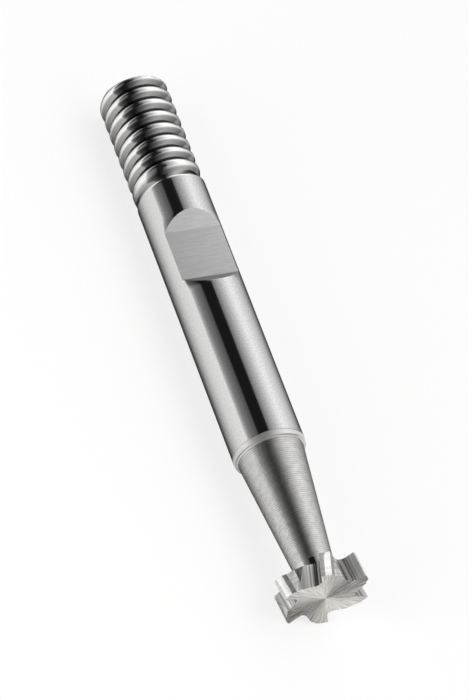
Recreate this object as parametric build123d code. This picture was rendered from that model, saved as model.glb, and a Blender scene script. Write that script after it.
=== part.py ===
from build123d import *
import os
from math import atan2, cos, degrees, hypot, radians, sin, tan

# Woodruff keyseat cutter, one piece of ground tool steel, all sizes in millimetres.
# It is modelled upright on its own axis, cutting face at z = 0 and threaded end on top.
# At the end it is laid on its side, as it comes to rest on a flat table.

# Overall and shank
overall_length = 50.0
shank_diameter = 6.0

# Cutting head
head_diameter = 7.5
head_thickness = 2.0
tooth_count = 6
first_tooth_angle = 275.8
tooth_slant = 13.5
even_spacing_depth = 0.5
rake_angle = 1.5

# Gullet in front of each tooth
gullet_depth = 1.35
gullet_root_radius = 0.55
gullet_floor_rise = 15.5

# Lands, steep step and heel behind each cutting edge
land_width = 0.36
land_relief = 7.0
second_land_width = 0.52
second_land_relief = 22.0
heel_step_width = 0.21
heel_step_relief = 56.0
heel_relief = 41.0
heel_clearance = 0.3
ridge_facet_start = 0.7
ridge_facet_width = 0.62
ridge_facet_undercut = 0.12

# Side teeth on the cutting face, hollow ground one by one
face_dish = 0.06
side_relief = 1.4

# Hub and tapered neck between head and shank
hub_diameter = 3.3
hub_length = 1.0
hub_fillet = 0.35
neck_end_diameter = 5.48
neck_length = 10.64
shoulder_band_diameter = 5.92
shoulder_band_taper = 0.04
shoulder_band_length = 0.47
shoulder_chamfer = 0.08

# Clamping flat with a slope at each end
flat_height = 4.8
flat_length = 4.75
flat_start = 30.08
flat_slope = 45.0
flat_angle = 112.4

# Rounded thread on the shank end, right hand
thread_pitch = 1.27
thread_length = 9.2
thread_start_angle = 270.7
thread_crest_diameter = 5.94
thread_depth = 0.4
thread_crest_width = 0.26
thread_flank_bulge = 0.06
thread_clearance = 0.35
end_chamfer = 0.22
end_chamfer_length = 0.2

# Run-out of the thread into the shank
runout_pitch = 1.6
runout_turns = 1.0
runout_lower_width = 0.95
runout_upper_width = 0.74
runout_hollow = 0.06
runout_bulge = 0.11
lead_length = 1.4
lead_taper_length = 0.6

head_radius = head_diameter / 2
shank_radius = shank_diameter / 2
crest_radius = thread_crest_diameter / 2
neck_start = head_thickness + hub_length
band_start = neck_start + neck_length
shank_start = band_start + shoulder_band_length
thread_start = overall_length - thread_length
lead_start = thread_start - lead_length
tooth_pitch_angle = 360.0 / tooth_count
slant_run = tan(radians(tooth_slant))
overshoot = head_thickness / 2
thread_half = (thread_pitch - thread_crest_width) / 2

# Corners of one tooth seen along the axis, with its tip at (0, head_radius).
# The gullet is on the +x side and the lands fall away on the -x side.
land_end = (-land_width, head_radius - land_width * tan(radians(land_relief)))
second_end = (
    land_end[0] - second_land_width,
    land_end[1] - second_land_width * tan(radians(second_land_relief)),
)
step_end = (
    second_end[0] - heel_step_width,
    second_end[1] - heel_step_width * tan(radians(heel_step_relief)),
)
heel_direction = Vector(-1, 0, 0).rotate(Axis.Z, heel_relief)
root_line = head_radius - gullet_depth
root_centre = (gullet_root_radius - gullet_depth * tan(radians(rake_angle)), root_line + gullet_root_radius)
floor_direction = Vector(1, 0, 0).rotate(Axis.Z, gullet_floor_rise)
floor_start = Vector(*root_centre) + Vector(0, -gullet_root_radius).rotate(Axis.Z, gullet_floor_rise)


def turned_body():
    """Everything turned and ground round: head disc, neck, band, shank and thread blank."""
    band_radius = shoulder_band_diameter / 2
    band_end_radius = band_radius + shoulder_band_taper / 2
    hub_radius = hub_diameter / 2
    blank_end = overall_length + 2 * thread_pitch
    outline = Polyline(
        (0, 0),
        (head_radius, 0),
        (head_radius, head_thickness),
        (hub_radius, head_thickness),
        (hub_radius, neck_start),
        (neck_end_diameter / 2, band_start),
        (band_radius - shoulder_chamfer, band_start),
        (band_radius, band_start + shoulder_chamfer),
        (band_end_radius, shank_start),
        (shank_radius, shank_start),
        (shank_radius, lead_start),
        (crest_radius, lead_start + lead_taper_length),
        (crest_radius, blank_end),
        (0, blank_end),
        close=True,
    )
    section = make_face(Plane.XZ * outline)
    hub_corner = section.vertices().sort_by_distance((hub_radius, 0, head_thickness))[0]
    section = fillet(hub_corner, hub_fillet)
    return revolve(section, axis=Axis.Z)


def slant_shift(lean, height):
    """Sideways shift of a slanted tooth at a height above the cutting face."""
    return lean * slant_run * (height - even_spacing_depth)


def slanted_cut(outline, tooth_angle, lean):
    """Straight grinding pass along a tooth, slanted to the axis, right across the head."""
    start = Pos(slant_shift(lean, -overshoot), 0, -overshoot) * outline
    path = Vector(lean * slant_run, 0, 1) * (head_thickness + 2 * overshoot)
    return Rot(0, 0, tooth_angle - 90) * Solid.extrude(start.face(), path)


def gullet_outline():
    """Gullet in front of a rake face: raked wall, round root and rising floor."""
    reach = head_diameter
    wall_lean = tan(radians(rake_angle))
    wall_top = (reach * wall_lean, head_radius + reach)
    wall_foot = Vector(*root_centre) + Vector(-gullet_root_radius, 0).rotate(Axis.Z, -rake_angle)
    root_mid_angle = 225 + (gullet_floor_rise - rake_angle) / 2
    root_mid = Vector(*root_centre) + Vector(gullet_root_radius, 0).rotate(Axis.Z, root_mid_angle)
    far = floor_start + floor_direction * reach
    wall = Line(wall_top, wall_foot)
    root = ThreePointArc(wall_foot, root_mid, floor_start)
    rest = Polyline(floor_start, far, (far.X, wall_top[1]), wall_top)
    return make_face(Curve() + [wall, root, rest])


def ridge_travel(lean, height):
    """How far down the heel of a tooth the gullet floor that comes before it lies."""
    heel_start = Vector(*step_end) + Vector(slant_shift(lean, height), 0)
    floor = (floor_start + Vector(slant_shift(-lean, height), 0)).rotate(Axis.Z, tooth_pitch_angle)
    along_floor = floor_direction.rotate(Axis.Z, tooth_pitch_angle)
    gap = floor - heel_start
    return gap.cross(along_floor).Z / heel_direction.cross(along_floor).Z


def relief_outline():
    """Two lands, a steep step and the heel behind a cutting edge."""
    lead = (land_width, head_radius + land_width * tan(radians(land_relief)))
    furthest = max(ridge_travel(lean, height) for lean in (-1, 1) for height in (0, head_thickness))
    heel_end = Vector(*step_end) + heel_direction * (furthest + heel_clearance)
    far = heel_end * 2
    top = (lead[0], head_diameter)
    return make_face(Polyline(lead, land_end, second_end, step_end, heel_end, far, top, close=True))


def ridge_point(lean, height):
    """Where the heel of a tooth meets the gullet floor that comes before it."""
    heel_start = Vector(*step_end) + Vector(slant_shift(lean, height), 0)
    meeting = heel_start + heel_direction * ridge_travel(lean, height)
    return Vector(meeting.X, meeting.Y, height)


def ridge_facet(tooth_angle, lean):
    """Small three-cornered facet ground on the ridge, widening towards the back."""
    apex = ridge_point(lean, ridge_facet_start)
    back = ridge_point(lean, head_thickness)
    along_floor = floor_direction.rotate(Axis.Z, tooth_pitch_angle)
    on_heel = back - heel_direction * ridge_facet_width
    on_floor = back - along_floor * ridge_facet_undercut
    corners = [apex, apex + (on_heel - apex) * 1.5, apex + (on_floor - apex) * 1.5]
    facet = make_face(Polyline(*corners, close=True))
    across = (on_heel - apex).cross(on_floor - apex).normalized()
    outward = across if across.Y > 0 else across * -1
    wedge = Solid.extrude(facet.face(), outward * ridge_facet_width)
    return Rot(0, 0, tooth_angle - 90) * wedge


def face_cut(tooth_angle, lean):
    """Hollow, relieved side of one tooth: a tilted plane over its sector of the face."""
    reach = 2 * head_diameter
    swing = degrees(atan2(slant_shift(lean, 0), head_radius))
    next_swing = degrees(atan2(slant_shift(-lean, 0), head_radius))
    edge = Vector(0, reach).rotate(Axis.Z, -swing)
    far = Vector(0, reach).rotate(Axis.Z, tooth_pitch_angle - next_swing)
    sector = make_face(Polyline((0, 0), edge, far, close=True))
    block = extrude(Pos(0, 0, -overshoot) * sector, amount=head_thickness)
    tilt = Vector(tan(radians(side_relief)), face_dish / head_radius, 1).rotate(Axis.Z, -swing)
    cut_plane = Plane(origin=(0, 0, face_dish), z_dir=tilt)
    return Rot(0, 0, tooth_angle - 90) * split(block, bisect_by=cut_plane, keep=Keep.BOTTOM)


def clamping_flat():
    """Flat ground across the shank, with a slope up to the full round at each end."""
    plane_distance = flat_height - shank_radius
    rise = shank_diameter - plane_distance
    run = rise / tan(radians(flat_slope))
    outline = Polyline(
        (plane_distance, flat_start),
        (plane_distance, flat_start + flat_length),
        (plane_distance + rise, flat_start + flat_length + run),
        (plane_distance + rise, flat_start - run),
        close=True,
    )
    block = extrude(make_face(Plane.XZ * outline), amount=shank_diameter, both=True)
    return Rot(0, 0, flat_angle) * block


def flank(start, end, bulge):
    """Arc between two points of the groove section, bowed sideways by the bulge."""
    length = hypot(end[0] - start[0], end[1] - start[1])
    mid_r = (start[0] + end[0]) / 2 - bulge * (end[1] - start[1]) / length
    mid_z = (start[1] + end[1]) / 2 + bulge * (end[0] - start[0]) / length
    return ThreePointArc(start, (mid_r, mid_z), end)


def groove_section(lower_width, lower_bulge, upper_width, upper_bulge):
    """Section of a thread groove: two flanks that meet in a sharp root."""
    root = (-thread_depth, 0)
    lower_edge = (0, -lower_width)
    upper_edge = (0, upper_width)
    lower = flank(root, lower_edge, lower_bulge)
    upper = flank(upper_edge, root, upper_bulge)
    outside = Polyline(
        lower_edge,
        (thread_clearance, -lower_width),
        (thread_clearance, upper_width),
        upper_edge,
    )
    return make_face(Curve() + [lower, outside, upper])


def groove_along(helix, section):
    """Sweep a groove section along a helix."""
    section_plane = Plane(origin=helix @ 0, x_dir=(1, 0, 0), z_dir=helix % 0)
    return sweep(section_plane * section, path=helix, is_frenet=True)


def cut_thread(blank):
    """Cut the full groove past the end, then its run-out into the shank, then trim the end."""
    place = Pos(0, 0, thread_start) * Rot(0, 0, thread_start_angle)
    full_height = thread_length + thread_pitch
    full_path = Helix(pitch=thread_pitch, height=full_height, radius=crest_radius)
    full_section = groove_section(thread_half, thread_flank_bulge, thread_half, thread_flank_bulge)
    full = groove_along(full_path, full_section)
    fade_height = runout_turns * runout_pitch
    fade_slope = degrees(atan2(thread_depth, fade_height))
    fade_path = Helix(pitch=runout_pitch, height=fade_height, radius=crest_radius, cone_angle=fade_slope)
    fade_section = groove_section(
        runout_lower_width, -runout_hollow, runout_upper_width, runout_bulge
    )
    fade = Rot(180, 0, 0) * groove_along(fade_path, fade_section)
    threaded = blank - place * full
    threaded = threaded - place * fade
    trim_outline = Polyline(
        (0, overall_length),
        (crest_radius - end_chamfer, overall_length),
        (crest_radius, overall_length - end_chamfer_length),
        (shank_diameter, overall_length - end_chamfer_length),
        (shank_diameter, overall_length + shank_diameter),
        (0, overall_length + shank_diameter),
        close=True,
    )
    return threaded - revolve(make_face(Plane.XZ * trim_outline), axis=Axis.Z)


def on_cutting_face(corner, tooth_angle, lean):
    """Corner of a tooth outline as it stands on the cutting face."""
    return Vector(corner[0] + slant_shift(lean, 0), corner[1]).rotate(Axis.Z, tooth_angle - 90)


def resting_pose(solid):
    """Lay the cutter on a tooth tip, the back of the next tooth and the end of the thread."""
    tip_angle = first_tooth_angle + tooth_pitch_angle
    tip = on_cutting_face((0, head_radius), tip_angle, -1)
    backs = [on_cutting_face(corner, first_tooth_angle, 1) for corner in (land_end, second_end)]
    downs = [(tip - back).cross(Vector(0, 0, 1)).normalized() for back in backs]
    down = max((side if side.dot(tip) > 0 else side * -1 for side in downs), key=lambda side: side.dot(tip))
    drop = down.dot(tip) - crest_radius
    tilt = degrees(atan2(drop, overall_length - thread_pitch / 2))
    turn = degrees(atan2(down.Y, down.X))
    laid = Rot(0, 90 + tilt, 0) * Rot(0, 0, -turn) * solid
    box = laid.bounding_box()
    centre = box.center()
    return Pos(-centre.X, -centre.Y, -box.min.Z) * laid


body = cut_thread(turned_body())
body -= clamping_flat()
for index in range(tooth_count):
    angle = first_tooth_angle - index * tooth_pitch_angle
    side = 1 if index % 2 == 0 else -1
    body -= slanted_cut(gullet_outline(), angle, side)
    body -= slanted_cut(relief_outline(), angle, side)
    body -= face_cut(angle, side)
for index in range(0, tooth_count, 2):
    body -= ridge_facet(first_tooth_angle - index * tooth_pitch_angle, 1)
cutter = resting_pose(body)

os.makedirs("parts", exist_ok=True)
export_step(cutter, "parts/keyseat_cutter.step")
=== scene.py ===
from math import atan2, ceil, cos, degrees, hypot, pi, radians, sin, tan

import bmesh
import bpy
from bpy.props import FloatProperty, IntProperty, PointerProperty, StringProperty
from bpy.types import Operator, Panel, PropertyGroup
from mathutils import Matrix, Vector


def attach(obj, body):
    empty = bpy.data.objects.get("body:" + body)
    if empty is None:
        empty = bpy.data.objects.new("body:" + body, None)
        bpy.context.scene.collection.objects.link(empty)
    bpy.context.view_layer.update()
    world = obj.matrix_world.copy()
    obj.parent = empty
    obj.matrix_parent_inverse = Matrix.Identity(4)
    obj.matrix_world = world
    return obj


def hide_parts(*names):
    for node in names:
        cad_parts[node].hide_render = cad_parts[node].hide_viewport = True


bl_info = {
    "name": "Woodruff Keyseat Cutter",
    "version": (1, 0, 0),
    "blender": (4, 5, 0),
    "location": "View3D > Sidebar > Keyseat Cutter",
    "description": "Dresses a small woodruff keyseat cutter with ground and turned steel and lights it",
    "category": "Object",
}

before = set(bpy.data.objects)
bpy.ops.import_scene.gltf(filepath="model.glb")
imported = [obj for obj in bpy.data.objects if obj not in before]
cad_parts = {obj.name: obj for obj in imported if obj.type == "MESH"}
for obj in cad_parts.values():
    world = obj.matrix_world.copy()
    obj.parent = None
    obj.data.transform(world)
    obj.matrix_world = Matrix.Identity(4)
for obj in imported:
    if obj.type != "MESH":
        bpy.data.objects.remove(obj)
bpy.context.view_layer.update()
NODE = "keyseat_cutter"
MM = 0.001

# The cutter's own axis system: millimetres, cutting face at z = 0, threaded end on top.
# It lies on the table turned like this, with its face centre at this place.
REST_PLACE = (-24.9957, 0.0019, 3.4420)
REST_TILT = 0.5484
REST_TURN = -49.4642

# Materials in their order on the shank and neck, on the thread's end and on the head.
SHANK, NECK, BAND, FLAT, SLOPE, RAMP = range(6)
THREAD = 1
FACE, FIRST_LAND, SECOND_LAND, HEEL, STEP, GULLET, ROOT, HUB, RAKE = range(9)

# Degrees from tooth to tooth, and how far behind its tooth each ground surface there leans.
TOOTH_STEP = 60
LAND_RELIEFS = {7: FIRST_LAND, 22: SECOND_LAND, 41: HEEL, 56: STEP}


def rest_pose():
    """Matrix from the cutter's own axes in millimetres to the table in metres."""
    tilt = Matrix.Rotation(radians(90 + REST_TILT), 4, "Y")
    turn = Matrix.Rotation(radians(-REST_TURN), 4, "Z")
    return Matrix.Scale(MM, 4) @ Matrix.Translation(REST_PLACE) @ tilt @ turn


class CutterSizes(PropertyGroup):
    """Sizes of the cutter in millimetres and degrees, along and round its own axis."""

    head_thickness: FloatProperty(name="Head thickness", description="Width of the toothed head", default=2.0)
    head_radius: FloatProperty(name="Head radius", description="Radius over the tooth tips", default=3.75)
    tooth_angle: FloatProperty(name="Tooth angle", description="Where the first tooth points", default=275.8)
    gullet_slant: FloatProperty(name="Gullet slant", description="Lean of the gullets", default=13.5)
    hub_start: FloatProperty(name="Hub start", description="Where the hub leaves the head", default=2.36)
    hub_radius: FloatProperty(name="Hub radius", description="Radius of the polished hub", default=1.65)
    hub_end: FloatProperty(name="Hub end", description="Where the hub turns into the neck", default=3.0)
    neck_end_radius: FloatProperty(name="Neck end radius", description="Radius at the shoulder", default=2.74)
    neck_end: FloatProperty(name="Neck end", description="Where the neck meets the shoulder", default=13.64)
    ring_pitch: FloatProperty(name="Ring pitch", description="Feed of the turned rings", default=0.18)
    ring_depth: FloatProperty(name="Ring depth", description="Depth of the turned rings", default=0.012)
    fillet: FloatProperty(name="Fillet", description="Fillet at the shoulder's inner corner", default=0.1)
    band_radius: FloatProperty(name="Band radius", description="Radius of the shoulder band", default=2.965)
    shank_start: FloatProperty(name="Shank start", description="Where the ground shank begins", default=14.11)
    shank_radius: FloatProperty(name="Shank radius", description="Radius of the ground shank", default=3.0)
    flat_start: FloatProperty(name="Flat start", description="Head end of the clamping flat", default=30.08)
    flat_length: FloatProperty(name="Flat length", description="Length of the level part", default=4.75)
    slope_room: FloatProperty(name="Slope room", description="Room for a slope of the flat", default=1.3)
    flat_distance: FloatProperty(name="Flat distance", description="From the axis to the flat", default=1.8)
    flat_angle: FloatProperty(name="Flat angle", description="Which way the flat faces", default=112.4)
    flat_rounding: FloatProperty(name="Flat rounding", description="Width of its round edges", default=0.025)
    thread_zone: FloatProperty(name="Thread zone", description="Where the threaded end begins", default=38.2)
    thread_pitch: FloatProperty(name="Thread pitch", description="Rise of the thread per turn", default=1.27)
    thread_depth: FloatProperty(name="Thread depth", description="Depth of the thread groove", default=0.4)
    crest_radius: FloatProperty(name="Crest radius", description="Radius over the crests", default=2.97)
    crest_width: FloatProperty(name="Crest width", description="Width of the thread crest", default=0.16)
    crest_place: FloatProperty(name="Crest place", description="Along from root to crest", default=0.53)
    head_bow: FloatProperty(name="Head bow", description="Bow of flanks facing the head", default=0.1)
    end_bow: FloatProperty(name="End bow", description="Bow of flanks facing the end", default=0.23)
    thread_start: FloatProperty(name="Thread start", description="Where the run-out begins", default=40.8)
    thread_angle: FloatProperty(name="Thread angle", description="Angle at which it begins", default=270.7)
    run_out: FloatProperty(name="Run-out", description="How far back the thinner end reaches", default=1.4)
    crest_taper: FloatProperty(name="Crest taper", description="Length of the thinning", default=0.6)
    root_fall: FloatProperty(name="Root fall", description="Fall of its root in a turn", default=1.6)
    edge_place: FloatProperty(name="Edge place", description="Lower edge of the run-out", default=40.02)
    edge_fall: FloatProperty(name="Edge fall", description="Fall of that edge in a turn", default=1.37)
    first_fall: FloatProperty(name="First fall", description="Fall of that edge at first", default=1.97)
    last_head_bow: FloatProperty(name="Last head bow", description="Head bow in the run-out", default=0.22)
    last_end_bow: FloatProperty(name="Last end bow", description="End bow in the run-out", default=-0.1)
    end_chamfer: FloatProperty(name="End chamfer", description="Length of the end chamfer", default=0.2)
    chamfer_slope: FloatProperty(name="Chamfer slope", description="How steeply it falls", default=1.1)
    overall_length: FloatProperty(name="Overall length", description="Length over all", default=50.0)
    segments: IntProperty(name="Segments", description="Facets around the shank", default=192, min=48)


class CutterFinish(PropertyGroup):
    """Colours of the one tool steel as each kind of grinding shows it, as sRGB hex values, and
    which way the face's light sector points, in degrees. Several are lighter or darker copies of
    that steel for surfaces that face the light differently: painted light and shade."""

    shank: StringProperty(name="Shank", description="Ground and polished steel", default="#DEDDDD")
    neck: StringProperty(name="Neck", description="Fine turned steel", default="#F2F1EF")
    band: StringProperty(name="Band", description="Satin ground shoulder", default="#F6F5F4")
    flat: StringProperty(name="Flat", description="Surface ground clamping flat", default="#BBBABA")
    # Painted light: the ramp is the flat's steel in a lighter copy.
    ramp: StringProperty(name="Ramp", description="Slope at the thread end of the flat", default="#CAC9C9")
    # Face and face sectors: the light and dark colours of the face's painted reflection.
    face: StringProperty(name="Face", description="Light sectors of the ground side", default="#F8F5F1")
    face_painted_dark_sector: StringProperty(name="Face sectors", description="Dark sectors of the side", default="#4A4743")
    tooth: StringProperty(name="Tooth", description="Ground lands and gullets", default="#EFEEEC")
    # Painted light: nearly white lines of the second land.
    land: StringProperty(name="Land", description="Lightest lines of the second land", default="#FBFBFA")
    # Painted highlight on the thread crests.
    crest: StringProperty(name="Crest", description="Thread crests rubbed bright", default="#FAFAF9")
    grazing: StringProperty(name="Grazing", description="Steel seen at a flat angle", default="#4A4A4A")
    # Where the face's painted reflection is light.
    painted_light_sector: FloatProperty(name="Light sector", description="Where the face is light", default=72.0)


class StageSettings(PropertyGroup):
    """Floor, lamps and camera."""

    floor_size: FloatProperty(name="Floor size", description="Side of the floor", default=12.0, unit="LENGTH")
    floor_colour: StringProperty(name="Floor colour", description="sRGB hex", default="#F6F6F5")
    paper_white: FloatProperty(name="Paper white", description="White the camera sees", default=0.75)
    metal_white: FloatProperty(name="Metal white", description="White the metal shows", default=0.1)
    lamp_power: FloatProperty(name="Lamp power", description="Lamp overhead", default=0.45, unit="POWER")
    fill_power: FloatProperty(name="Fill power", description="Lamp at the side", default=0.9, unit="POWER")
    lens: FloatProperty(name="Lens", description="Focal length for a 36 mm film", default=233.9)


def linear_colour(text):
    """Scene-linear RGBA from an sRGB hex value."""
    parts = [int(text[i : i + 2], 16) / 255 for i in (1, 3, 5)]
    return (*[c / 12.92 if c <= 0.04045 else ((c + 0.055) / 1.055) ** 2.4 for c in parts], 1.0)


def node(tree, kind, inputs=None, links=None, **settings):
    """Add one shader node with its settings, fixed inputs and links."""
    made = tree.nodes.new(kind)
    for name, value in settings.items():
        setattr(made, name, value)
    for socket, value in (inputs or {}).items():
        made.inputs[socket].default_value = value
    for socket, source in (links or {}).items():
        tree.links.new(source, made.inputs[socket])
    return made


def new_tree(name, metallic=1.0, roughness=0.5):
    """A material with only its Principled shader, linked to the output."""
    material = bpy.data.materials.new(name)
    material.use_nodes = True
    tree = material.node_tree
    tree.nodes.clear()
    shader = node(tree, "ShaderNodeBsdfPrincipled", {"Metallic": metallic, "Roughness": roughness})
    node(tree, "ShaderNodeOutputMaterial", links={"Surface": shader.outputs[0]})
    return material, tree, shader


def own_axes(tree):
    """Object coordinates turned into the cutter's own axes, in millimetres."""
    place = Vector(REST_PLACE) * MM
    turn = (rest_pose().to_3x3() * (1 / MM)).to_euler()
    coordinates = node(tree, "ShaderNodeTexCoord")
    return node(
        tree,
        "ShaderNodeMapping",
        {"Location": place, "Rotation": turn, "Scale": (MM, MM, MM)},
        {"Vector": coordinates.outputs["Object"]},
        vector_type="TEXTURE",
    ).outputs[0]


def round_axes(tree, around, along, outward):
    """Angle in radians, height and radius in millimetres about the cutter's axis, each one scaled."""
    parts = node(tree, "ShaderNodeSeparateXYZ", links={0: own_axes(tree)}).outputs
    angle = node(tree, "ShaderNodeMath", links={0: parts[1], 1: parts[0]}, operation="ARCTAN2").outputs[0]
    square_x = node(tree, "ShaderNodeMath", links={0: parts[0], 1: parts[0]}, operation="MULTIPLY").outputs[0]
    square = node(
        tree, "ShaderNodeMath", links={0: parts[1], 1: parts[1], 2: square_x}, operation="MULTIPLY_ADD"
    ).outputs[0]
    radius = node(tree, "ShaderNodeMath", links={0: square}, operation="SQRT").outputs[0]
    vector = node(tree, "ShaderNodeCombineXYZ", links={0: angle, 1: parts[2], 2: radius}).outputs[0]
    return node(tree, "ShaderNodeMapping", {"Scale": (around, along, outward)}, {"Vector": vector}).outputs[0]


def noise(tree, vector, detail=2.0, roughness=0.5):
    """Value of a noise texture."""
    return node(
        tree,
        "ShaderNodeTexNoise",
        {"Scale": 1.0, "Detail": detail, "Roughness": roughness},
        {"Vector": vector},
    ).outputs[0]


def ranged(tree, value, low, high, to_low, to_high):
    """Value stretched from one range to another and clamped."""
    return node(
        tree,
        "ShaderNodeMapRange",
        {"From Min": low, "From Max": high, "To Min": to_low, "To Max": to_high},
        {"Value": value},
    ).outputs[0]


def coloured(tree, shader, factor, dark, light):
    """Base colour between two hex values, by a pattern."""
    mix = node(
        tree,
        "ShaderNodeMix",
        {6: linear_colour(dark), 7: linear_colour(light)},
        {0: factor},
        data_type="RGBA",
    )
    tree.links.new(mix.outputs[2], shader.inputs["Base Color"])


def bumped(tree, shader, height, depth_mm):
    """Link a height pattern to the shader's normal."""
    bump = node(tree, "ShaderNodeBump", {"Distance": depth_mm * MM}, {"Height": height})
    tree.links.new(bump.outputs[0], shader.inputs["Normal"])


def shaded(hex_text, factor):
    """The same hex colour made darker or lighter."""
    levels = [round(int(hex_text[i : i + 2], 16) * factor) for i in (1, 3, 5)]
    return "#" + "".join("%02X" % max(0, min(255, level)) for level in levels)


def polished_shank_steel(finish):
    """Cylindrically ground and polished tool steel: mirror-like along the bar, with very faint
    marks of the wheel round it, which blur the reflections a little along the axis."""
    material, tree, shader = new_tree("ground_polished_shank_steel")
    marks = noise(tree, round_axes(tree, 1.5, 16.0, 0.0), 3.0)
    grain = noise(tree, round_axes(tree, 22.0, 7.0, 0.0), 2.0, 0.6)
    spread = ranged(tree, grain, 0.3, 0.7, 0.0, 1.0)
    coloured(tree, shader, spread, shaded(finish.shank, 0.93), shaded(finish.shank, 1.03))
    cloud = noise(tree, round_axes(tree, 2.0, 0.5, 0.0), 2.0)
    tree.links.new(ranged(tree, cloud, 0.3, 0.7, 0.07, 0.1), shader.inputs["Roughness"])
    shader.inputs["Specular Tint"].default_value = linear_colour(finish.grazing)
    bumped(tree, shader, marks, 0.0004)
    return material


def turned_neck_steel(sizes, finish):
    """Fine turned steel: rings from the tool's feed, each a shallow scallop. Their fine stripes of light
    round the neck are also painted into the colour as a ring wave, a painted reflection, a little uneven
    where the tool tore the steel."""
    material, tree, shader = new_tree("fine_turned_neck_steel")
    fine = noise(tree, round_axes(tree, 2.0, 28.0, 0.0), 3.0)
    height = node(tree, "ShaderNodeSeparateXYZ", links={0: own_axes(tree)}).outputs[2]
    per_mm = 2 * pi / sizes.ring_pitch
    from_hub = {1: per_mm, 2: -per_mm * sizes.hub_end}
    feed = node(tree, "ShaderNodeMath", from_hub, {0: height}, operation="MULTIPLY_ADD").outputs[0]
    wave = node(tree, "ShaderNodeMath", links={0: feed}, operation="COSINE").outputs[0]
    rings = node(tree, "ShaderNodeMath", {1: 4.0}, {0: fine, 2: wave}, operation="MULTIPLY_ADD").outputs[0]
    cloud = noise(tree, round_axes(tree, 4.0, 2.0, 0.0), 4.0, 0.7)
    uneven = node(tree, "ShaderNodeMath", {1: 5.0}, {0: cloud, 2: rings}, operation="MULTIPLY_ADD").outputs[0]
    spread = ranged(tree, uneven, 2.8, 6.2, 1.0, 0.0)
    # Painted reflection: the ring wave turns into light and dark stripes in the colour, made a little uneven
    # at random by the cloud.
    coloured(tree, shader, spread, shaded(finish.neck, 0.75), shaded(finish.neck, 0.94))
    tree.links.new(ranged(tree, fine, 0.3, 0.7, 0.27, 0.37), shader.inputs["Roughness"])
    shader.inputs["Specular Tint"].default_value = linear_colour(finish.grazing)
    bumped(tree, shader, fine, 0.0015)
    return material


def satin_band_steel(finish):
    """Shoulder band touched by the wheel's side: satin, so it shows soft light and no sharp stripe."""
    material, tree, shader = new_tree("satin_ground_band_steel", metallic=0.85)
    fine = noise(tree, round_axes(tree, 3.0, 30.0, 0.0), 2.0)
    coloured(tree, shader, fine, shaded(finish.band, 0.84), shaded(finish.band, 0.96))
    tree.links.new(ranged(tree, fine, 0.3, 0.7, 0.3, 0.38), shader.inputs["Roughness"])
    bumped(tree, shader, fine, 0.001)
    return material


def polished_thread_steel(sizes, finish):
    """Form-ground thread: a painted highlight on the crests and painted shade in the grooves, which are
    also rougher. The marks shift the edge between the two by up to 0.08 mm, so it isn't a clean line."""
    material, tree, shader = new_tree("form_ground_thread_steel")
    marks = noise(tree, round_axes(tree, 1.2, 22.0, 0.0), 3.0)
    radius = node(tree, "ShaderNodeSeparateXYZ", links={0: round_axes(tree, 1.0, 1.0, 1.0)}).outputs[2]
    shift = {0: marks, 2: radius}
    painted = node(tree, "ShaderNodeMath", {1: 0.08}, shift, operation="MULTIPLY_ADD").outputs[0]
    crest = ranged(tree, painted, sizes.crest_radius - 0.045, sizes.crest_radius + 0.035, 0.0, 1.0)
    # Painted shade down the flanks into the grooves, painted highlight on the crests.
    coloured(tree, shader, crest, shaded(finish.shank, 0.76), finish.crest)
    tree.links.new(ranged(tree, crest, 0.0, 1.0, 0.17, 0.1), shader.inputs["Roughness"])
    shader.inputs["Specular Tint"].default_value = linear_colour(finish.grazing)
    bumped(tree, shader, marks, 0.0008)
    return material


def brushed_flat_steel(name, colour, facing):
    """Surface-ground clamping flat: straight fine lines across the shank, which make it an even grey.
    Such lines scatter light like a matt surface, so the steel is only partly metallic here."""
    material, tree, shader = new_tree(name, metallic=0.35, roughness=0.4)
    toward_flat = {"Rotation": (0.0, 0.0, radians(-facing))}
    turned = node(tree, "ShaderNodeMapping", toward_flat, {"Vector": own_axes(tree)}).outputs[0]
    streaks = node(tree, "ShaderNodeMapping", {"Scale": (1.0, 0.5, 24.0)}, {"Vector": turned}).outputs[0]
    lines = noise(tree, streaks, 4.0, 0.75)
    spread = ranged(tree, lines, 0.3, 0.7, 0.0, 1.0)
    coloured(tree, shader, spread, shaded(colour, 0.84), shaded(colour, 1.04))
    bumped(tree, shader, lines, 0.003)
    return material


def ground_slope_steel(finish):
    """Slope at the head end of the flat: the same grinding at a flatter angle, painted darker than the flat:
    painted shade.
    """
    material, tree, shader = new_tree("ground_slope_steel", roughness=0.3)
    lines = noise(tree, round_axes(tree, 1.0, 9.0, 0.0), 3.0, 0.6)
    coloured(tree, shader, lines, shaded(finish.flat, 0.64), shaded(finish.flat, 0.8))
    bumped(tree, shader, lines, 0.002)
    return material


def streaked(tree, shader, lines, dark, light, depth_mm, low=0.36, high=0.64):
    """Grinding lines: light and dark by turns, and slightly deep."""
    coloured(tree, shader, ranged(tree, lines, low, high, 0.0, 1.0), dark, light)
    bumped(tree, shader, lines, depth_mm)


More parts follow.
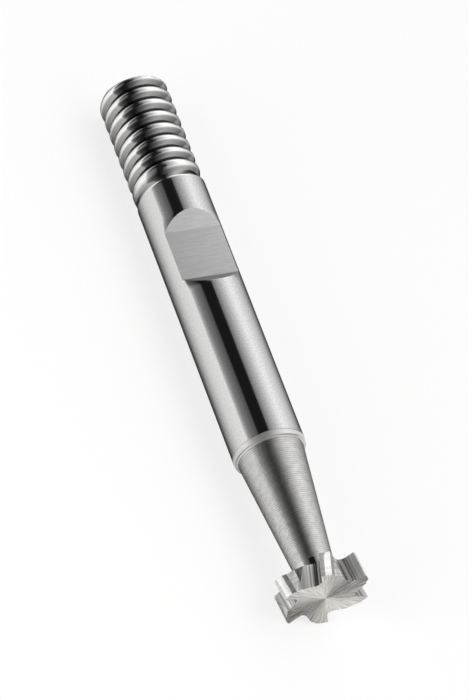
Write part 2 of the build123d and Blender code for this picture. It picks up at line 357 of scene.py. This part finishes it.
def ground_face_steel(finish):
    """Side of the head, ground tooth by tooth: fine lines fan out from the middle. Such a fan sends
    the light one way in two opposite sectors and another way in the two between them. Its lines
    are too fine for a mesh, so the light and dark sectors are painted into the colour: painted reflection."""
    material, tree, shader = new_tree("side_ground_face_steel", roughness=0.42)
    around = round_axes(tree, 1.0, 0.0, 0.0)
    angle = node(tree, "ShaderNodeSeparateXYZ", links={0: around}).outputs[0]
    lines = noise(tree, round_axes(tree, 40.0, 0.0, 0.5), 5.0, 0.85)
    astray = ranged(tree, lines, 0.3, 0.7, -0.5, 0.5)
    # Painted reflection: the colour swings from dark to light and back twice round the axis.
    twice_round = {1: 2.0, 2: radians(-2 * finish.painted_light_sector)}
    doubled = node(tree, "ShaderNodeMath", twice_round, {0: angle}, operation="MULTIPLY_ADD").outputs[0]
    strayed = node(tree, "ShaderNodeMath", links={0: doubled, 1: astray}, operation="ADD").outputs[0]
    wave = node(tree, "ShaderNodeMath", links={0: strayed}, operation="COSINE").outputs[0]
    depth = ranged(tree, lines, 0.36, 0.64, -1.7, 1.7)
    tone = node(tree, "ShaderNodeMath", links={0: wave, 1: depth}, operation="ADD").outputs[0]
    coloured(tree, shader, ranged(tree, tone, -1.75, 2.1, 0.0, 1.0), finish.face_painted_dark_sector, finish.face)
    bumped(tree, shader, lines, 0.005)
    return material


# The grinding lines of lands, heels and gullets scatter light much like a matt surface, so the
# steel there is written as only partly metallic. Each surface of the tooth also gets its own lighter
# or darker copy of the tooth colour for the way it faces the light: painted light and shade.
def first_land_steel(finish):
    """Narrow land behind the cutting edge: fine ground, and painted a mid grey copy of the tooth steel:
    painted shade.
    """
    material, tree, shader = new_tree("fine_ground_land_steel", 0.7, 0.3)
    lines = noise(tree, round_axes(tree, 0.8, 9.0, 0.3), 3.0, 0.6)
    streaked(tree, shader, lines, shaded(finish.tooth, 0.82), shaded(finish.tooth, 0.92), 0.001)
    return material


def second_land_steel(finish):
    """Wide second land: painted nearly white, a lit copy of the tooth steel (painted light), with fine lines
    across the tooth.
    """
    material, tree, shader = new_tree("relief_ground_land_steel", 0.35, 0.26)
    lines = noise(tree, round_axes(tree, 0.8, 9.0, 0.3), 3.0, 0.6)
    streaked(tree, shader, lines, shaded(finish.tooth, 0.95), finish.land, 0.001)
    return material


def heel_steel(finish):
    """Heel of the tooth, roughly ground: light, with lines across it."""
    material, tree, shader = new_tree("rough_ground_heel_steel", 0.35, 0.36)
    cross = noise(tree, round_axes(tree, 1.0, 6.0, 0.5), 3.0, 0.6)
    travel = travel_lines(tree, 3.0, 3.0)
    lines = node(tree, "ShaderNodeMix", {0: 0.6}, {2: cross, 3: travel}).outputs[0]
    streaked(tree, shader, lines, shaded(finish.tooth, 0.62), shaded(finish.tooth, 1.0), 0.002)
    return material


def step_steel(finish):
    """Steep step between land and heel: a darker copy of the tooth steel, a thin grey line of painted shade.
    """
    material, tree, shader = new_tree("ground_step_steel", 0.6, 0.34)
    lines = noise(tree, round_axes(tree, 2.5, 10.0, 2.0), 2.0)
    streaked(tree, shader, lines, shaded(finish.tooth, 0.56), shaded(finish.tooth, 0.72), 0.002)
    return material


def travel_lines(tree, across, detail):
    """Noise drawn out along the way the gullet wheel went, from the head's own UV map."""
    travel = node(tree, "ShaderNodeUVMap", uv_map="wheel_travel").outputs[0]
    spread = node(
        tree, "ShaderNodeVectorMath", {1: (across, across, 0.0)}, {0: travel}, operation="MULTIPLY"
    ).outputs[0]
    return noise(tree, spread, detail, 0.7)


def gullet_steel(finish):
    """Gullet cut by a profiled wheel: strong streaks along the tooth, light on floor and wall."""
    material, tree, shader = new_tree("streaked_gullet_steel", 0.5, 0.36)
    lines = travel_lines(tree, 5.0, 4.0)
    streaked(tree, shader, lines, shaded(finish.tooth, 0.36), shaded(finish.tooth, 0.98), 0.003, 0.3, 0.66)
    return material


def rake_steel(finish):
    """Cutting side of the tooth: ground in streaks along it, and painted greyer than the gullet floor:
    painted shade.
    """
    material, tree, shader = new_tree("streaked_rake_steel", 0.6, 0.34)
    lines = travel_lines(tree, 6.0, 4.0)
    streaked(tree, shader, lines, shaded(finish.tooth, 0.34), shaded(finish.tooth, 0.86), 0.003, 0.3, 0.68)
    return material


def gullet_root_steel(finish):
    """Round root of the gullet, painted darkest: painted shade in the hollow, with the wheel's streaks."""
    material, tree, shader = new_tree("streaked_root_steel", 0.8, 0.3)
    lines = travel_lines(tree, 6.0, 4.0)
    streaked(tree, shader, lines, shaded(finish.tooth, 0.26), shaded(finish.tooth, 0.8), 0.003)
    return material


def head_zone(sizes, face):
    """Which ground surface of the head a face belongs to."""
    middle = face.calc_center_median()
    radius = hypot(middle.x, middle.y)
    normal = face.normal
    if normal.z < -0.9:
        return FACE
    if middle.z < 0.15 and normal.z < 0.9:
        return HEEL
    if middle.z > sizes.head_thickness or radius < sizes.hub_radius + 0.25:
        return HUB
    if normal.z > 0.9:
        return GULLET
    radial = Vector((middle.x, middle.y, 0)).normalized()
    swept = radial.x * normal.y - radial.y * normal.x
    behind = (degrees(atan2(normal.y, normal.x)) - sizes.tooth_angle) % TOOTH_STEP
    if radius > sizes.head_radius - 0.05 and abs(swept) < 0.2:
        return FIRST_LAND
    nearest = min(LAND_RELIEFS, key=lambda relief: abs(relief - behind))
    if swept > -0.3 and radius > sizes.head_radius - 1.0 and abs(nearest - behind) < 2:
        return LAND_RELIEFS[nearest]
    if swept < -0.9:
        return RAKE
    return ROOT if swept < 0.35 else GULLET


def lathe(bm, points, segments):
    """Spin an open line of (radius, height) points into a turned surface."""
    made = [bm.verts.new((radius, 0, height)) for radius, height in points]
    edges = [bm.edges.new(pair) for pair in zip(made, made[1:])]
    bmesh.ops.spin(
        bm,
        geom=made + edges,
        cent=(0, 0, 0),
        axis=(0, 0, 1),
        dvec=(0, 0, 0),
        angle=2 * pi,
        steps=segments,
        use_merge=True,
    )


def close_ends(bm):
    """Fill open rims so that the shell is closed."""
    rims = [edge for edge in bm.edges if edge.is_boundary]
    bmesh.ops.holes_fill(bm, edges=rims, sides=0)


def finished(name, bm, materials, sharp_degrees, level=()):
    """Put a bmesh on the table as an object that stands for the cutter."""
    bmesh.ops.recalc_face_normals(bm, faces=bm.faces[:])
    bmesh.ops.transform(bm, matrix=rest_pose(), verts=bm.verts[:])
    mesh = bpy.data.meshes.new(name)
    bm.to_mesh(mesh)
    bm.free()
    for material in materials:
        mesh.materials.append(material)
    for polygon in mesh.polygons:
        polygon.use_smooth = polygon.material_index not in level
    mesh.set_sharp_from_angle(angle=radians(sharp_degrees))
    piece = bpy.data.objects.new(name, mesh)
    bpy.context.scene.collection.objects.link(piece)
    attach(piece, "root")
    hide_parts(NODE)


def shank_line(sizes):
    """Radius and height down the hub, neck, shoulder and shank, with the rings of the turning tool."""
    line = [(sizes.hub_radius, sizes.hub_start), (sizes.hub_radius, sizes.hub_end)]
    rings = round((sizes.neck_end - sizes.hub_end) / sizes.ring_pitch)
    per_ring = 5
    for step in range(1, rings * per_ring):
        share = step / (rings * per_ring)
        radius = sizes.hub_radius + share * (sizes.neck_end_radius - sizes.hub_radius)
        scallop = abs(sin(pi * step / per_ring))
        height = sizes.hub_end + share * (sizes.neck_end - sizes.hub_end)
        if height < sizes.neck_end - sizes.fillet:
            line.append((radius - sizes.ring_depth * scallop, height))
    for outward, back in ((-0.1, 0.9), (0.1, 0.5), (0.5, 0.15), (1, 0)):
        line.append((sizes.neck_end_radius + outward * sizes.fillet, sizes.neck_end - back * sizes.fillet))
    band = sizes.band_radius
    start = sizes.shank_start
    flat_end = sizes.flat_start + sizes.flat_length
    # The band has a broken edge, then a low drop just before the shank's own broken edge.
    edge = 0.03
    drop = 0.015
    drop_start = start - 0.04
    line += [
        (band - edge, sizes.neck_end),
        (band, sizes.neck_end + edge),
        (band, drop_start),
        (band - drop, start - edge),
        (band - drop, start),
        (sizes.shank_radius - drop, start),
        (sizes.shank_radius, start + drop),
        (sizes.shank_radius, sizes.flat_start - sizes.slope_room),
        (sizes.shank_radius, sizes.flat_start),
        (sizes.shank_radius, flat_end),
        (sizes.shank_radius, flat_end + sizes.slope_room),
        (sizes.shank_radius, sizes.thread_zone),
    ]
    return line


def grind_flat(bm, sizes):
    """Cut the clamping flat and its two 45 degree slopes, close them and round their outer edges."""
    facing = Vector((cos(radians(sizes.flat_angle)), sin(radians(sizes.flat_angle)), 0))
    low = sizes.flat_start
    high = low + sizes.flat_length
    slope_bottom = low - sizes.slope_room
    slope_top = high + sizes.slope_room
    near = 1e-3
    nearer = 1e-5
    up = Vector((0, 0, 1))
    zones = [
        (slope_bottom, low, facing * sizes.flat_distance + up * low, (facing + up).normalized()),
        (low, high, facing * sizes.flat_distance, facing),
        (high, slope_top, facing * sizes.flat_distance + up * high, (facing - up).normalized()),
    ]
    for bottom, top, place, normal in zones:
        faces = [face for face in bm.faces if bottom < face.calc_center_median().z < top]
        edges = {edge for face in faces for edge in face.edges}
        verts = {vert for face in faces for vert in face.verts}
        bmesh.ops.bisect_plane(
            bm, geom=list(verts) + list(edges) + faces, dist=nearer, plane_co=place, plane_no=normal
        )
    gone = []
    for face in bm.faces:
        middle = face.calc_center_median()
        if not slope_bottom < middle.z < slope_top:
            continue
        limit = sizes.flat_distance + max(0, low - middle.z, middle.z - high)
        if middle.dot(facing) > limit + nearer:
            gone.append(face)
    bmesh.ops.delete(bm, geom=gone, context="FACES")
    open_edges = [edge for edge in bm.edges if edge.is_boundary]
    rim = [edge for edge in open_edges if slope_bottom < edge.verts[0].co.z < slope_top]
    for height in (low, high):
        ends = {
            vert
            for edge in rim
            for vert in edge.verts
            if abs(vert.co.z - height) < near and abs(vert.co.dot(facing) - sizes.flat_distance) < near
        }
        rim.append(bm.edges.new(sorted(ends, key=lambda vert: vert.co.x)[:: len(ends) - 1]))
    new_faces = []
    for bottom, top, place, normal in zones:
        loop = [
            edge
            for edge in rim
            if all(
                bottom - near <= vert.co.z <= top + near and abs((vert.co - place).dot(normal)) < near
                for vert in edge.verts
            )
        ]
        made = bmesh.ops.contextual_create(bm, geom=loop)
        new_faces += made["faces"]
    if len(new_faces) != 3:
        raise RuntimeError("the clamping flat did not close: %d faces" % len(new_faces))
    for face in new_faces:
        middle = face.calc_center_median().z
        face.material_index = SLOPE if middle < low else RAMP if middle > high else FLAT
    outer = [edge for edge in rim if len({face in new_faces for face in edge.link_faces}) == 2]
    bmesh.ops.bevel(
        bm,
        geom=outer,
        offset=sizes.flat_rounding,
        offset_type="OFFSET",
        segments=2,
        profile=0.5,
        affect="EDGES",
        material=-1,
    )


def groove_share(distance, bulge):
    """How far a flank has risen, from 0 at the root to 1 at the crest, with a round bow."""
    return distance + 4 * bulge * distance * (1 - distance)


def flank_lengths(sizes):
    """Length along the bar of a flank facing the head and of one facing the end."""
    facing_head = sizes.crest_place - sizes.crest_width / 2
    facing_end = sizes.thread_pitch - sizes.crest_place - sizes.crest_width / 2
    return facing_head, facing_end


def thread_radius(sizes, angle, height):
    """Radius of the threaded end at an angle and height, with grooves, run-out and end chamfer."""
    pitch = sizes.thread_pitch
    shank_end = sizes.thread_start - sizes.run_out
    taper = min(1, max(0, (height - shank_end) / sizes.crest_taper))
    radius = sizes.shank_radius + taper * (sizes.crest_radius - sizes.shank_radius)
    facing_head, facing_end = flank_lengths(sizes)
    start_line = sizes.thread_start + pitch * (angle - sizes.thread_angle) / 360
    turn = round((height - start_line) / pitch)
    offset = height - start_line - turn * pitch
    along = angle - sizes.thread_angle + 360 * turn
    if offset > sizes.crest_place:
        offset -= pitch
        along += 360
    reach = facing_head if offset > 0 else facing_end
    if along >= 0 and abs(offset) < reach:
        root = sizes.crest_radius - sizes.thread_depth
        bow = sizes.head_bow if offset > 0 else sizes.end_bow
        radius = min(radius, root + sizes.thread_depth * groove_share(abs(offset) / reach, bow))
    # The run-out is one turn back from the first full groove: it gets shallower, its lower edge
    # falls faster in the first fifth, and its bows change over the first third.
    for back in (0, 1):
        passed = (sizes.thread_angle - angle) / 360 + back
        if not 0 <= passed <= 1:
            continue
        root_height = sizes.thread_start - sizes.root_fall * passed
        depth = sizes.thread_depth * (1 - passed)
        upper = sizes.thread_start - pitch * passed + facing_head
        lower = sizes.edge_place - sizes.edge_fall * passed
        if passed <= 1 / 5:
            lower = sizes.thread_start - facing_end - sizes.first_fall * passed
        change = min(1, 3 * passed)
        if root_height <= height < upper:
            bow = sizes.head_bow + change * (sizes.last_head_bow - sizes.head_bow)
            share = groove_share((height - root_height) / (upper - root_height), bow)
        elif lower < height < root_height:
            bow = sizes.end_bow + change * (sizes.last_end_bow - sizes.end_bow)
            share = groove_share((root_height - height) / (root_height - lower), bow)
        else:
            continue
        rim = sizes.crest_radius if height > root_height else sizes.shank_radius
        root = sizes.crest_radius - depth
        radius = min(radius, root + (rim - root) * share)
    chamfer_start = sizes.overall_length - sizes.end_chamfer
    if height > chamfer_start:
        radius = min(radius, sizes.crest_radius - sizes.chamfer_slope * (height - chamfer_start))
    return radius


def tooth_axes(sizes, face):
    """Directions across and outward of the tooth behind a face, and the slant of its gullet."""
    middle = face.calc_center_median()
    # A face up to this many degrees past a tooth's tip still belongs to that tooth.
    past_tip = 8
    from_first = degrees(atan2(middle.y, middle.x)) - sizes.tooth_angle - past_tip
    tooth = radians(sizes.tooth_angle + TOOTH_STEP * ceil(from_first / TOOTH_STEP))
    outward = Vector((cos(tooth), sin(tooth), 0))
    across = Vector((-sin(tooth), cos(tooth), 0))
    slant = tan(radians(sizes.gullet_slant))
    slope = min((slant, -slant), key=lambda lean: abs(face.normal.dot(across) * lean + face.normal.z))
    return across, outward, slope


class CUTTER_OT_shank(Operator):
    """Turn the hub, neck, shoulder and shank and grind the clamping flat"""

    bl_idname = "keyseat_cutter.shank"
    bl_label = "Shank and Neck"

    def execute(self, context):
        sizes = context.scene.cutter_sizes
        finish = context.scene.cutter_finish
        bm = bmesh.new()
        lathe(bm, shank_line(sizes), sizes.segments)
        grind_flat(bm, sizes)
        close_ends(bm)
        for face in bm.faces:
            middle = face.calc_center_median()
            if sizes.hub_end < middle.z < sizes.neck_end - sizes.fillet:
                face.material_index = NECK
            elif sizes.neck_end - sizes.fillet < middle.z < sizes.shank_start:
                face.material_index = BAND
        materials = [
            polished_shank_steel(finish),
            turned_neck_steel(sizes, finish),
            satin_band_steel(finish),
            brushed_flat_steel("surface_ground_flat_steel", finish.flat, sizes.flat_angle),
            ground_slope_steel(finish),
            # Painted light: the ramp is the flat's grinding in a lighter colour, for the way it faces.
            brushed_flat_steel("surface_ground_ramp_steel", finish.ramp, sizes.flat_angle),
        ]
        finished("shank_and_neck", bm, materials, 20, level=(FLAT, SLOPE, RAMP))
        return {"FINISHED"}


class CUTTER_OT_thread(Operator):
    """Wind the rounded thread on the shank end, with its run-out"""

    bl_idname = "keyseat_cutter.thread"
    bl_label = "End Thread"

    def execute(self, context):
        sizes = context.scene.cutter_sizes
        finish = context.scene.cutter_finish
        pitch = sizes.thread_pitch
        facing_head, facing_end = flank_lengths(sizes)
        head_lines = 9
        end_lines = 12
        offsets = [sizes.crest_place - pitch]
        offsets += [facing_end * (step / end_lines - 1) for step in range(end_lines)]
        offsets += [facing_head * step / head_lines for step in range(head_lines + 1)]
        first = sizes.thread_start - pitch * sizes.thread_angle / 360
        turns_down = int((first - sizes.thread_zone) / pitch) + 3
        turns_up = int((sizes.overall_length - first) / pitch) + 2
        heights = [
            first + turn * pitch + offset for turn in range(-turns_down, turns_up) for offset in offsets
        ]
        bm = bmesh.new()
        line = [bm.verts.new((sizes.shank_radius, 0, height)) for height in heights]
        edges = [bm.edges.new(pair) for pair in zip(line, line[1:])]
        bmesh.ops.spin(
            bm,
            geom=line + edges,
            cent=(0, 0, 0),
            axis=(0, 0, 1),
            dvec=(0, 0, pitch / sizes.segments),
            angle=2 * pi,
            steps=sizes.segments,
            use_merge=False,
        )
        bmesh.ops.remove_doubles(bm, verts=bm.verts[:], dist=0.004)
        for vert in bm.verts:
            angle = degrees(atan2(vert.co.y, vert.co.x)) % 360
            radius = thread_radius(sizes, angle, vert.co.z)
            vert.co.x = radius * cos(radians(angle))
            vert.co.y = radius * sin(radians(angle))
        for height, normal in ((sizes.thread_zone, -1), (sizes.overall_length, 1)):
            bmesh.ops.bisect_plane(
                bm,
                geom=bm.verts[:] + bm.edges[:] + bm.faces[:],
                dist=1e-5,
                plane_co=(0, 0, height),
                plane_no=(0, 0, normal),
                clear_outer=True,
            )
        close_ends(bm)
        for face in bm.faces:
            uncut = all(hypot(vert.co.x, vert.co.y) > sizes.shank_radius - 0.002 for vert in face.verts)
            before = face.calc_center_median().z < sizes.thread_start
            face.material_index = SHANK if uncut and before else THREAD
        materials = [polished_shank_steel(finish), polished_thread_steel(sizes, finish)]
        finished("end_thread", bm, materials, 32)
        return {"FINISHED"}


class CUTTER_OT_head(Operator):
    """Dress the toothed head: ground face, lands and streaked gullets"""

    bl_idname = "keyseat_cutter.head"
    bl_label = "Toothed Head"

    def execute(self, context):
        sizes = context.scene.cutter_sizes
        finish = context.scene.cutter_finish
        bm = bmesh.new()
        bm.from_mesh(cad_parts[NODE].data)
        bmesh.ops.transform(bm, matrix=rest_pose().inverted(), verts=bm.verts[:])
        bmesh.ops.remove_doubles(bm, verts=bm.verts[:], dist=0.002)
        bmesh.ops.bisect_plane(
            bm,
            geom=bm.verts[:] + bm.edges[:] + bm.faces[:],
            dist=1e-4,
            plane_co=(0, 0, sizes.hub_start),
            plane_no=(0, 0, 1),
            clear_outer=True,
        )
        close_ends(bm)
        bmesh.ops.dissolve_limit(
            bm,
            angle_limit=radians(0.6),
            use_dissolve_boundaries=False,
            verts=bm.verts[:],
            edges=bm.edges[:],
            delimit={"NORMAL"},
        )
        bmesh.ops.recalc_face_normals(bm, faces=bm.faces[:])
        bm.normal_update()
        travel = bm.loops.layers.uv.new("wheel_travel")
        for face in bm.faces:
            face.material_index = head_zone(sizes, face)
            across, outward, slope = tooth_axes(sizes, face)
            for loop in face.loops:
                place = loop.vert.co
                loop[travel].uv = (place.dot(across) - slope * place.z, place.dot(outward))
        materials = [
            ground_face_steel(finish),
            first_land_steel(finish),
            second_land_steel(finish),
            heel_steel(finish),
            step_steel(finish),
            gullet_steel(finish),
            gullet_root_steel(finish),
            polished_shank_steel(finish),
            rake_steel(finish),
        ]
        finished("toothed_head", bm, materials, 20)
        return {"FINISHED"}


class CUTTER_OT_stage(Operator):
    """Lay the pale floor, light the studio and place the camera"""

    bl_idname = "keyseat_cutter.stage"
    bl_label = "Stage"

    def execute(self, context):
        settings = context.scene.cutter_stage
        self.lay_floor(context, settings)
        self.light_studio(context, settings)
        self.set_camera(context, settings)
        context.scene.view_settings.view_transform = "Standard"
        return {"FINISHED"}

    def lay_floor(self, context, settings):
        """Matt white paper with the cutter's soft shadow. The camera sees it whiter than it is lit,
        and so, a little, do mirrors and glass."""
        bm = bmesh.new()
        bmesh.ops.create_grid(bm, x_segments=1, y_segments=1, size=settings.floor_size / 2)
        mesh = bpy.data.meshes.new("floor")
        bm.to_mesh(mesh)
        bm.free()
        material = bpy.data.materials.new("matt_white_paper")
        material.use_nodes = True
        tree = material.node_tree
        tree.nodes.clear()
        paper = node(tree, "ShaderNodeBsdfDiffuse", {"Color": linear_colour(settings.floor_colour)})
        glow = node(tree, "ShaderNodeEmission", {"Color": (1, 1, 1, 1), "Strength": 1.0})
        path = node(tree, "ShaderNodeLightPath").outputs
        white = {1: settings.paper_white}
        seen = {0: path["Is Camera Ray"]}
        share = node(tree, "ShaderNodeMath", white, seen, operation="MULTIPLY").outputs[0]
        white = {1: settings.metal_white}
        for ray in ("Is Glossy Ray", "Is Transmission Ray"):
            seen = {0: path[ray], 2: share}
            share = node(tree, "ShaderNodeMath", white, seen, operation="MULTIPLY_ADD").outputs[0]
        mix = node(tree, "ShaderNodeMixShader", links={0: share, 1: paper.outputs[0], 2: glow.outputs[0]})
        node(tree, "ShaderNodeOutputMaterial", links={"Surface": mix.outputs[0]})
        mesh.materials.append(material)
        piece = bpy.data.objects.new("floor", mesh)
        context.scene.collection.objects.link(piece)

    def light_studio(self, context, settings):
        """Soft panels on both sides of the cutter, with a dark gap between them, round the camera."""
        world = bpy.data.worlds.new("studio")
        context.scene.world = world
        world.use_nodes = True
        tree = world.node_tree
        tree.nodes.clear()
        where = node(tree, "ShaderNodeTexCoord")
        parts = node(tree, "ShaderNodeSeparateXYZ", links={0: where.outputs["Generated"]}).outputs
        angle = node(tree, "ShaderNodeMath", links={0: parts[2], 1: parts[1]}, operation="ARCTAN2").outputs[0]
        turn = ranged(tree, angle, -pi, pi, 0.0, 1.0)
        # Each list goes over the bar from the +Y side of the table, 0 degrees, to its -Y side,
        # 180 degrees, and gives the light there.
        along = self.light_round(tree, turn, [
            (0, 0.8), (5, 0.45), (13.5, 0.26), (25.5, 0.17), (37.5, 0.09), (38.5, 0.012), (71, 0.012),
            (72.5, 0.2), (85, 0.44), (97, 0.67), (109, 0.94), (121, 1.15), (133, 1.12), (145, 1.0),
            (160, 0.91), (180, 0.87),
        ])
        headward = self.light_round(tree, turn, [
            (0, 0.25), (15, 0.09), (30, 0.02), (50, 0.011), (75, 0.18), (90, 0.45), (105, 0.8), (120, 0.95),
            (135, 0.8), (150, 0.7), (165, 0.45), (180, 0.15),
        ])
        threadward = self.light_round(tree, turn, [
            (0, 0.16), (12, 0.1), (36, 0.01), (58, 0.01), (72, 0.16), (84, 0.4), (96, 0.65), (108, 1.05),
            (120, 1.25), (132, 1.3), (144, 1.15), (156, 0.75), (168, 0.35), (180, 0.22),
        ])
        over = self.light_round(tree, turn, [
            (0, 0.7), (11, 0.38), (24, 0.18), (36, 0.06), (42, 0.012), (58, 0.012), (68, 0.2), (79, 0.6),
            (93, 0.9), (107, 1.15), (135, 1.15), (154, 0.8), (172, 0.55), (180, 0.5),
        ])
        # How far a direction points along the bar, from -1 at the head to 1 at the thread, picks
        # the list: the first one for a little toward the thread, the last one for straight over.
        upright = ranged(tree, parts[0], 0.38, 0.12, 0.0, 1.0)
        toward_head = ranged(tree, parts[0], 0.02, -0.45, 0.0, 1.0)
        toward_thread = ranged(tree, parts[0], 0.55, 0.65, 0.0, 1.0)
        light = along
        for share, other in ((upright, over), (toward_head, headward), (toward_thread, threadward)):
            blend = node(tree, "ShaderNodeMix", {}, {0: share, 6: light, 7: other}, data_type="RGBA")
            light = blend.outputs[2]
        studio = node(tree, "ShaderNodeBackground", {"Strength": 1.0}, {"Color": light})
        node(tree, "ShaderNodeOutputWorld", links={"Surface": studio.outputs[0]})
        overhead = Vector((-0.05, -0.12, 0.34))
        beside = Vector((-0.1, 0.3, 0.12))
        self.hang_lamp(context, "soft_lamp", overhead, size=0.3, power=settings.lamp_power)
        self.hang_lamp(context, "fill_lamp", beside, size=0.2, power=settings.fill_power)

    def hang_lamp(self, context, name, place, size, power):
        """Square soft lamp that looks at the cutter. The metal mirrors the world's panels, not it."""
        lamp = bpy.data.lights.new(name, "AREA")
        lamp.shape = "SQUARE"
        lamp.size = size
        lamp.energy = power
        holder = bpy.data.objects.new(name, lamp)
        holder.location = place
        holder.rotation_euler = (-holder.location).to_track_quat("-Z", "Y").to_euler()
        holder.visible_glossy = False
        context.scene.collection.objects.link(holder)

    def light_round(self, tree, turn, lights):
        """Light level as a ramp round the bar."""
        ramp = node(tree, "ShaderNodeValToRGB", links={0: turn})
        stops = ramp.color_ramp.elements
        for place, (degree, level) in enumerate(lights):
            share = (degree + 180) / 360
            stop = stops[place] if place < 2 else stops.new(share)
            stop.position = share
            stop.color = (level, level, level, 1)
        return ramp.outputs[0]

    def set_camera(self, context, settings):
        """Camera over the head's end on the +Y side, looking down on the cutter with a roll."""
        data = bpy.data.cameras.new("camera")
        data.sensor_width = 36.0
        data.lens = settings.lens
        data.clip_start = 0.01
        camera = bpy.data.objects.new("camera", data)
        right = Vector((-0.30551105, -0.82796768, 0.4702473))
        above = Vector((0.8091117, 0.03462742, 0.58663379))
        back = Vector((-0.50199727, 0.55970569, 0.65933928))
        place = (-0.18351950, 0.20306793, 0.24288062)
        turn = Matrix((right, above, back)).transposed()
        camera.matrix_world = Matrix.Translation(place) @ turn.to_4x4()
        context.scene.collection.objects.link(camera)
        context.scene.camera = camera


class CUTTER_PT_panel(Panel):
    """Sizes, colours and buttons of the keyseat cutter"""

    bl_idname = "CUTTER_PT_panel"
    bl_label = "Keyseat Cutter"
    bl_space_type = "VIEW_3D"
    bl_region_type = "UI"
    bl_category = "Keyseat Cutter"

    def draw(self, context):
        for group in ("cutter_sizes", "cutter_finish", "cutter_stage"):
            owner = getattr(context.scene, group)
            box = self.layout.box()
            for name in owner.bl_rna.properties.keys():
                if name not in ("rna_type", "name"):
                    box.prop(owner, name)
        for operator in OPERATORS:
            self.layout.operator(operator.bl_idname)


OPERATORS = (CUTTER_OT_shank, CUTTER_OT_thread, CUTTER_OT_head, CUTTER_OT_stage)
GROUPS = {"cutter_sizes": CutterSizes, "cutter_finish": CutterFinish, "cutter_stage": StageSettings}


def register():
    """Register the groups, operators and panel."""
    for name, group in GROUPS.items():
        bpy.utils.register_class(group)
        setattr(bpy.types.Scene, name, PointerProperty(type=group))
    for operator in OPERATORS:
        bpy.utils.register_class(operator)
    bpy.utils.register_class(CUTTER_PT_panel)


def unregister():
    """Take everything off again."""
    bpy.utils.unregister_class(CUTTER_PT_panel)
    for operator in reversed(OPERATORS):
        bpy.utils.unregister_class(operator)
    for name, group in GROUPS.items():
        delattr(bpy.types.Scene, name)
        bpy.utils.unregister_class(group)


def main():
    """Build every piece and the stage in order."""
    register()
    bpy.ops.keyseat_cutter.shank()
    bpy.ops.keyseat_cutter.thread()
    bpy.ops.keyseat_cutter.head()
    bpy.ops.keyseat_cutter.stage()


if __name__ == "__main__":
    main()
